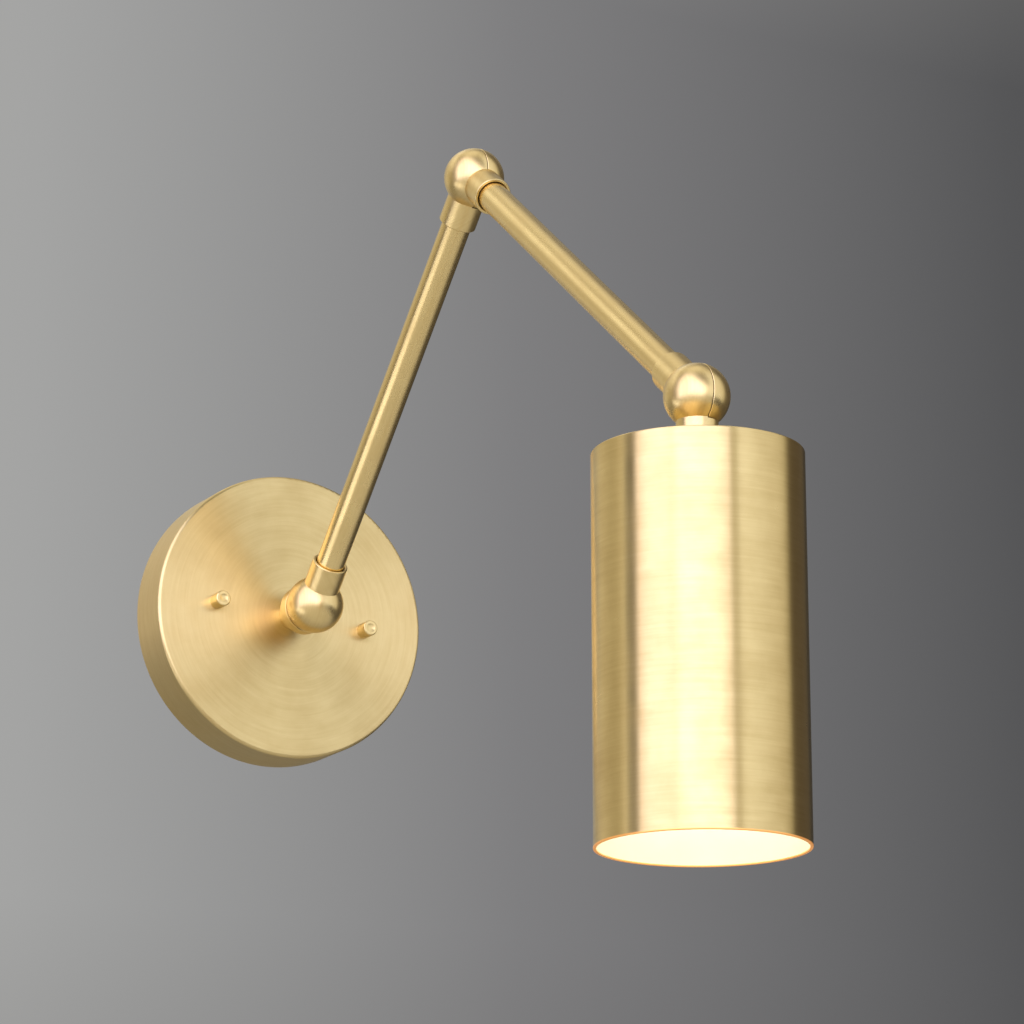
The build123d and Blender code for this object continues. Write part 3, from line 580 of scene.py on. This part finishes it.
def connector_rings(length, mouth_r, tip_r, hole_r, hole_depth):
    """Rings of a twist-on connector: funnel mouth, plain skirt, ribbed grip and rounded tip."""
    edge = CONNECTOR_EDGE
    grip_start = CONNECTOR_SKIRT + CONNECTOR_STEP
    grip_end = length - CONNECTOR_TIP

    def cone(height):
        return mouth_r + (tip_r - mouth_r) * height / length

    def ribbed(height, rise):
        return lambda turn: cone(height) - rise * RIB_DEPTH * (0.5 - 0.5 * math.cos(RIBS * turn))

    profile = [(hole_r, hole_depth), (hole_r, hole_depth * FUNNEL_END),
               (mouth_r - FUNNEL_WALL, CONNECTOR_RIM), (mouth_r - CONNECTOR_RIM, 0),
               (cone(0) - edge, 0), (cone(edge), edge), (cone(CONNECTOR_SKIRT), CONNECTOR_SKIRT)]
    for step, rise in enumerate(RIB_RISE):
        height = grip_start + (grip_end - grip_start) * step / (len(RIB_RISE) - 1)
        profile.append((ribbed(height, rise), height))
    for step in range(1, TIP_RINGS + 1):
        turn = math.pi / 2 * step / TIP_RINGS
        drawn_in = CONNECTOR_TIP * CONNECTOR_DRAW * (1 - math.cos(turn))
        profile.append((cone(grip_end) - drawn_in, grip_end + CONNECTOR_TIP * math.sin(turn)))
    return [ring(radius, height, RIBS * RIB_POINTS) for radius, height in profile]


def base_rings(length, radius, floor, sheet):
    """Rings of a bulb's screw shell: rolled sheet with a round thread, open at its far end."""
    def wall(height, inset):
        after_shoulder = (height - BASE_SHOULDER) / BASE_PITCH
        before_rim = (length - BASE_RIM - height) / BASE_PITCH
        ends = min(1.0, max(0.0, after_shoulder), max(0.0, before_rim))
        slope = max(0.0, BASE_SHOULDER - height) * BASE_SLOPE

        def reach(turn):
            phase = height / BASE_PITCH - turn / (2 * math.pi)
            groove = BASE_DEPTH * ends * (0.5 - 0.5 * math.cos(2 * math.pi * phase))
            return radius - inset - slope - groove
        return reach

    heights = [length * step / BASE_RINGS for step in range(BASE_RINGS + 1)]
    profile = [(radius * BASE_END, 0)]
    profile += [(wall(height, 0), height) for height in heights]
    profile += [(wall(height, sheet), max(floor, height)) for height in reversed(heights[2:])]
    profile.append((radius * BASE_FLOOR_R, floor))
    return [ring(reach, height, ROUND_POINTS) for reach, height in profile]


def add_skin(vertices, faces, rings, placed, hollow):
    """Quads over rings. A hollow piece closes on its first ring, and others are capped."""
    start = len(vertices)
    count = len(rings[0])
    vertices.extend(placed @ point for points in rings for point in points)
    for row in range(len(rings) if hollow else len(rings) - 1):
        low = start + row * count
        high = start + (row + 1) % len(rings) * count
        for part in range(count):
            beside = (part + 1) % count
            faces.append((low + part, low + beside, high + beside, high + part))
    if not hollow:
        last = start + (len(rings) - 1) * count
        faces.append(tuple(range(start + count - 1, start - 1, -1)))
        faces.append(tuple(range(last, last + count)))


def detail_piece(node, body, material, rings, placements, hollow=False):
    """A modelled piece that stands for a plain node, once at each placement."""
    vertices = []
    faces = []
    for placed in placements:
        add_skin(vertices, faces, rings, placed, hollow)
    mesh = bpy.data.meshes.new(node + "_detail")
    mesh.from_pydata(vertices, [], faces)
    mesh.polygons.foreach_set("use_smooth", [True] * len(faces))
    mesh.set_sharp_from_angle(angle=SHARP)
    mesh.materials.append(material)
    piece = bpy.data.objects.new(node + "_detail", mesh)
    bpy.context.scene.collection.objects.link(piece)
    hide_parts(node)
    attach(piece, body)


def along_wall_axis(node):
    """Placement at a node's wall end, on the canopy's axis and away from the wall, and its length."""
    low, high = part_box(node)
    return axes_along((0, high.y, 0), -Y), high.y - low.y


def stud_places(height):
    half = STUD_SPACING / 2
    across = half * math.cos(STUD_TILT)
    rise = half * math.sin(STUD_TILT)
    return [axes_along((side * across, height, side * rise), -Y) for side in (1, -1)]


def canopy_studs():
    """Threaded studs, each with a hexagon nut."""
    low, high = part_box("canopy_studs")
    studs = thread_rings(high.y - low.y, STUD_R, *STUD_THREAD)
    detail_piece("canopy_studs", "canopy", zinc, studs, stud_places(high.y))
    low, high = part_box("stud_nuts")
    nuts = nut_rings(STUD_NUT_FLATS, high.y - low.y, STUD_R + FIT)
    detail_piece("stud_nuts", "canopy", zinc, nuts, stud_places(high.y), hollow=True)


def wall_nipple():
    """Threaded nipple with its bore, and the hexagon nut that holds it."""
    placed, length = along_wall_axis("wall_nipple")
    nipple = thread_rings(length, NIPPLE_R, *NIPPLE_THREAD)
    nipple += [ring(NIPPLE_BORE, length), ring(NIPPLE_BORE, 0)]
    detail_piece("wall_nipple", "wall_swivel", zinc, nipple, [placed], hollow=True)
    placed, length = along_wall_axis("wall_nipple_nut")
    nut = nut_rings(NIPPLE_NUT_FLATS, length, NIPPLE_R + FIT)
    detail_piece("wall_nipple_nut", "wall_swivel", nut_brass, nut, [placed], hollow=True)


def wire_connectors():
    """The earth connector hangs below its screw; the other two turn outwards from the nipple."""
    screw_low, screw_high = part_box("earth_screw")
    lead_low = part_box("earth_lead")[0]
    screw_x = (screw_low.x + screw_high.x) / 2
    places = [axes_along((screw_x, lead_low.y + LEAD_R, lead_low.z + CONNECTOR_GRIP), -Z)]
    for node, angle in zip(("hot_lead", "neutral_lead"), SUPPLY_ANGLES):
        outwards = Vector((math.cos(angle), 0, math.sin(angle)))
        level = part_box(node)[1].y - LEAD_R
        places.append(axes_along(outwards * CONNECTOR_REACH + Vector((0, level, 0)), outwards))
    caps = connector_rings(*CONNECTOR, LEAD_R + FIT, CONNECTOR_GRIP + HOLE_SPARE)
    detail_piece("wire_connectors", "canopy", connector_plastic, caps, places)


def bulb_base():
    """The bulb's screw shell, from its insulator down to the glass."""
    low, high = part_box("bulb_base")
    shell = base_rings(high.z - low.z, (high.x - low.x) / 2, BASE_FLOOR, BASE_SHEET)
    top = axes_along((head_ball.x, head_ball.y, high.z), -Z)
    detail_piece("bulb_base", "head", contact_metal, shell, [top])


canopy_studs()
wall_nipple()
wire_connectors()
bulb_base()

# ---------------------------------------------------------------- stage
FLOOR_Z = -0.95
BACK_Y = 2.45
STAGE_HALF = 5.0
SWEEP_R = 0.5
SWEEP_STEPS = 16
FLOOR = colour(208, 207, 194)
FLOOR_PAINTED_SHADE_Y = (-0.25, 0.45)     # painted shade: the floor's colour darkens towards the back between these
FLOOR_PAINTED_SHADE = 0.62
PALE_TO_X = (0.9, 1.8)         # between these and PALE_TO_Y the floor takes on the backdrop's glow, so that it meets the backdrop; this paints shade on it towards the right and the back
PALE_TO_Y = (0.9, 1.6)
BACKDROP_FROM_Z = (FLOOR_Z + 0.02, FLOOR_Z + 0.4)
# Where across the backdrop, in metres from the object, and its glow there: painted light, light at the
# left and dark at the right.
BACKDROP = [(-5.0, (0.44, 0.39, 0.27)), (-2.4, (0.50, 0.46, 0.36)), (-1.0, (0.66, 0.61, 0.50)),
            (-0.2, (0.44, 0.42, 0.37)), (0.8, (0.375, 0.375, 0.37)), (1.45, (0.212, 0.210, 0.214)),
            (2.2, (0.092, 0.092, 0.095)), (2.8, (0.045, 0.045, 0.046)), (5.0, (0.045, 0.045, 0.046))]
# Painted light: the backdrop's glow near its top, brighter, as if lit from above.
BACKDROP_TOP = [(-5.0, (1.15, 1.12, 1.06)), (0.0, (1.10, 1.07, 1.01)), (2.6, (0.28, 0.27, 0.25)),
                (5.0, (0.28, 0.27, 0.25))]
TOP_FROM_Z = (1.5, 3.2)
LOW_GREY = (0.09, 0.08, 0.07, 1.0)
LOW_FROM_Z = (0.3, -0.5)       # the backdrop's glow goes towards the low grey below here, a painted shade at its foot
LOW_SHARE = 0.65


def stage_sweep():
    """Floor that curves up into a backdrop."""
    outline = [(-STAGE_HALF, FLOOR_Z)]
    for step in range(SWEEP_STEPS + 1):
        turn = math.pi / 2 * step / SWEEP_STEPS
        outline.append((BACK_Y - SWEEP_R + SWEEP_R * math.sin(turn),
                        FLOOR_Z + SWEEP_R - SWEEP_R * math.cos(turn)))
    outline.append((BACK_Y, STAGE_HALF))
    vertices = [(side * STAGE_HALF, y, z) for y, z in outline for side in (-1, 1)]
    faces = [(2 * row, 2 * row + 1, 2 * row + 3, 2 * row + 2) for row in range(len(outline) - 1)]
    mesh = bpy.data.meshes.new("stage_sweep")
    mesh.from_pydata(vertices, [], faces)
    mesh.polygons.foreach_set("use_smooth", [True] * len(faces))
    mesh.materials.append(stage_material())
    stage = bpy.data.objects.new("stage_sweep", mesh)
    bpy.context.scene.collection.objects.link(stage)
    return stage


def steps_of_colour(tree, value, low, high, steps):
    """Colour by a value, from a list of places and colours."""
    ramp = tree.add("ValToRGB", {"Fac": tree.span(value, low, high)})
    stops = ramp.color_ramp.elements
    while len(stops) > 1:
        stops.remove(stops[-1])
    peak = max(max(light) for _, light in steps)
    for index, (place, light) in enumerate(steps):
        share = (place - low) / (high - low)
        stop = stops[0] if index == 0 else stops.new(share)
        stop.position = share
        stop.color = tuple(part / peak for part in light) + (1.0,)
    return tree.add("VectorMath", {0: ramp.outputs[0], "Scale": peak}, operation="SCALE").outputs[0]


def stage_material():
    """Pale floor with painted shade towards the back and right; the backdrop glows with painted light
    that falls off from light grey at the left to dark grey at the right.
    """
    tree = material_tree("stage")
    x, y, z = tree.parts(tree.rest())
    wall = steps_of_colour(tree, x, -STAGE_HALF, STAGE_HALF, BACKDROP)
    above = steps_of_colour(tree, x, -STAGE_HALF, STAGE_HALF, BACKDROP_TOP)
    wall = tree.mix(tree.span(z, *TOP_FROM_Z), wall, above)
    wall = tree.mix(tree.span(z, *LOW_FROM_Z, start=0.0, end=LOW_SHARE), wall, LOW_GREY)
    upright = tree.span(z, *BACKDROP_FROM_Z)
    # Painted shade: far to the right and back the floor shows the backdrop's glow instead of its own
    # colour.
    far = tree.math("MAXIMUM", tree.span(x, *PALE_TO_X), tree.span(y, *PALE_TO_Y))
    # Painted shade: the floor is darker towards the back.
    pale = tree.mix(tree.span(y, *FLOOR_PAINTED_SHADE_Y), FLOOR, shaded(FLOOR, FLOOR_PAINTED_SHADE))
    floor = tree.add("BsdfDiffuse", {"Color": pale}).outputs[0]
    # The backdrop is an emission whose colour is painted light.
    back = tree.add("Emission", {"Color": wall, "Strength": 1.0}).outputs[0]
    return tree.finish(tree.blend(tree.math("MAXIMUM", upright, far), floor, back))


sweep = stage_sweep()

# ---------------------------------------------------------------- light
# Bearing from the wall's normal towards the left, in degrees, and the light that comes from there.
STUDIO = [(-180, (0.10, 0.085, 0.07)), (-80, (0.10, 0.085, 0.07)), (-77, (0.58, 0.55, 0.44)),
          (-70, (0.76, 0.74, 0.70)), (-50, (0.90, 0.90, 0.92)), (-22, (1.08, 1.12, 1.24)),
          (-14, (1.14, 1.18, 1.32)), (-10, (0.70, 0.68, 0.62)), (30, (0.52, 0.48, 0.38)),
          (100, (0.62, 0.58, 0.48)), (102, (0.05, 0.04, 0.03)), (115, (0.05, 0.04, 0.03)),
          (118, (0.50, 0.46, 0.34)), (180, (0.50, 0.46, 0.34))]
SOFT_BOX = [(-180, (0.9, 0.9, 1.1)), (-7, (2.0, 2.05, 2.9)), (0, (2.3, 2.3, 2.95)),
            (52, (2.3, 2.3, 3.0)), (58, (1.75, 1.7, 2.2)), (66, (1.95, 1.9, 2.5)),
            (88, (1.9, 1.85, 2.5)), (101, (1.5, 1.4, 1.8)), (180, (1.5, 1.4, 1.8))]
# Bearings and elevations in degrees.
BOX_START = (-5.0, -2.0)       # bearings between which the box starts
BOX_END = (102.0, 100.0)       # and ends
BOX_SLANT = (-5.0, 45.0)       # bearings between which its top and foot slant
BOX_TOP = (20.0, 60.0)         # elevation of its top, from the right end of the slant to the left
BOX_FOOT = (2.0, -46.0)        # and of its foot
BOX_BLUR = (9.0, 5.0)          # how softly top and foot end
PATCH_START = (-20.0, -12.0)   # bearings between which the dark patch above the box starts
PATCH_END = (60.0, 40.0)       # and ends
PATCH_FOOT = (21.0, 29.0)      # elevations between which it starts
PATCH = (0.12, 0.11, 0.08, 1.0)
ABOVE_FROM = (58.0, 78.0)      # elevations between which this gives way to the light above
ABOVE_FRONT = (0.76, 0.73, 0.66, 1.0)
ABOVE_BACK = (1.08, 1.04, 0.96, 1.0)
FRONT_TO_BACK = (-0.2, 0.3)    # how far back a direction points where the one becomes the other
BELOW_FROM = (-28.0, -48.0)    # and to the light below
BELOW = (0.34, 0.31, 0.26, 1.0)
ALL_ROUND = (-180.0, 180.0)

KEY_PLACE = (-2.0, -2.2, 1.8)
KEY_RADIUS = 0.8
KEY_POWER = 80
KEY_TINT = (1.0, 0.97, 0.92)
PANEL_PLACE = (-1.3, 0.12, -0.60)
PANEL_AIM = (0, -0.12, 0.08)
PANEL_UP = Vector((0, 0.66, 0.75))             # its height runs along this as near as can be
PANEL_SIZE = (0.36, 0.92)
PANEL_LIGHT = 1.55
PANEL_TINT = (0.87, 0.87, 1.0)


def soft_box(tree, bearing, elevation):
    """How far a direction lies inside the large bright diffuser at the front left."""
    top = tree.span(bearing, *BOX_SLANT, *BOX_TOP)
    foot = tree.span(bearing, *BOX_SLANT, *BOX_FOOT)
    soft_top, soft_foot = BOX_BLUR
    height = tree.times(tree.span(tree.math("SUBTRACT", top, elevation), -soft_top, soft_top),
                        tree.span(tree.math("SUBTRACT", elevation, foot), -soft_foot, soft_foot))
    width = tree.times(tree.span(bearing, *BOX_START), tree.span(bearing, *BOX_END))
    return tree.times(height, width)


def studio_world():
    """Soft studio light all round, with a diffuser and a dark patch above it."""
    world = bpy.data.worlds.new("studio")
    tree = Tree(world)
    x, y, z = tree.parts(tree.add("TexCoord").outputs["Generated"])
    bearing = tree.math("DEGREES", tree.math("ARCTAN2", tree.times(x, -1.0), tree.times(y, -1.0)))
    elevation = tree.math("DEGREES", tree.math("ARCSINE", z))
    around = steps_of_colour(tree, bearing, *ALL_ROUND, STUDIO)
    patch = tree.times(tree.span(bearing, *PATCH_START), tree.span(elevation, *PATCH_FOOT))
    patch = tree.times(patch, tree.span(bearing, *PATCH_END))
    around = tree.mix(patch, around, PATCH)
    above = tree.mix(tree.span(y, *FRONT_TO_BACK), ABOVE_FRONT, ABOVE_BACK)
    around = tree.mix(tree.span(elevation, *ABOVE_FROM), around, above)
    around = tree.mix(tree.span(elevation, *BELOW_FROM), around, BELOW)
    diffuser = steps_of_colour(tree, bearing, *ALL_ROUND, SOFT_BOX)
    light = tree.mix(soft_box(tree, bearing, elevation), around, diffuser)
    background = tree.add("Background", {"Color": light, "Strength": 1.0})
    output = tree.add("OutputWorld")
    tree.links.new(background.outputs[0], output.inputs["Surface"])
    bpy.context.scene.world = world


def add_lamp(name, kind, power, tint):
    """A lamp that the camera doesn't see."""
    light = bpy.data.lights.new(name, kind)
    light.energy = power
    light.color = tint
    lamp = bpy.data.objects.new(name, light)
    lamp.visible_camera = False
    bpy.context.scene.collection.objects.link(lamp)
    return lamp


def key_lamp():
    """Soft key at the upper left, for matt surfaces: reflections don't show it."""
    key = add_lamp("key", "POINT", KEY_POWER, KEY_TINT)
    key.data.shadow_soft_size = KEY_RADIUS
    key.location = KEY_PLACE
    key.visible_glossy = False


def low_panel():
    """Panel low at the left, which only reflections show."""
    width, height = PANEL_SIZE
    panel = add_lamp("low_panel", "AREA", math.pi * width * height * PANEL_LIGHT, PANEL_TINT)
    panel.data.shape = "RECTANGLE"
    panel.data.size = width
    panel.data.size_y = height
    backwards = (Vector(PANEL_PLACE) - Vector(PANEL_AIM)).normalized()
    upwards = (PANEL_UP - backwards * backwards.dot(PANEL_UP)).normalized()
    turn = Matrix((upwards.cross(backwards), upwards, backwards)).transposed()
    panel.matrix_world = Matrix.Translation(PANEL_PLACE) @ turn.to_4x4()
    panel.visible_diffuse = False


studio_world()
key_lamp()
low_panel()

# ---------------------------------------------------------------- camera
CAMERA_PLACE = Vector((-0.721864, -1.583146, -0.410491))
CAMERA_YAW = 0.4917            # radians, from +Y towards +X
CAMERA_PITCH = 0.2615          # radians, upwards
CAMERA_ROLL = -0.0015
CAMERA_LENS = 137.244          # mm
CAMERA_SENSOR = 36.0           # mm
CAMERA_NEAR = 0.05
CAMERA_FAR = 50.0


def camera():
    """Camera at the photograph's place and viewing angle."""
    data = bpy.data.cameras.new("camera")
    data.sensor_width = CAMERA_SENSOR
    data.lens = CAMERA_LENS
    data.clip_start = CAMERA_NEAR
    data.clip_end = CAMERA_FAR
    forward = Vector((math.sin(CAMERA_YAW) * math.cos(CAMERA_PITCH),
                      math.cos(CAMERA_YAW) * math.cos(CAMERA_PITCH), math.sin(CAMERA_PITCH)))
    level = Vector((math.cos(CAMERA_YAW), -math.sin(CAMERA_YAW), 0))
    upright = level.cross(forward)
    right = math.cos(CAMERA_ROLL) * level + math.sin(CAMERA_ROLL) * upright
    up = math.cos(CAMERA_ROLL) * upright - math.sin(CAMERA_ROLL) * level
    eye = bpy.data.objects.new("camera", data)
    turn = Matrix((right, up, -forward)).transposed()
    eye.matrix_world = Matrix.Translation(CAMERA_PLACE) @ turn.to_4x4()
    bpy.context.scene.collection.objects.link(eye)
    bpy.context.scene.camera = eye


camera()
bpy.context.scene.view_settings.view_transform = "Standard"
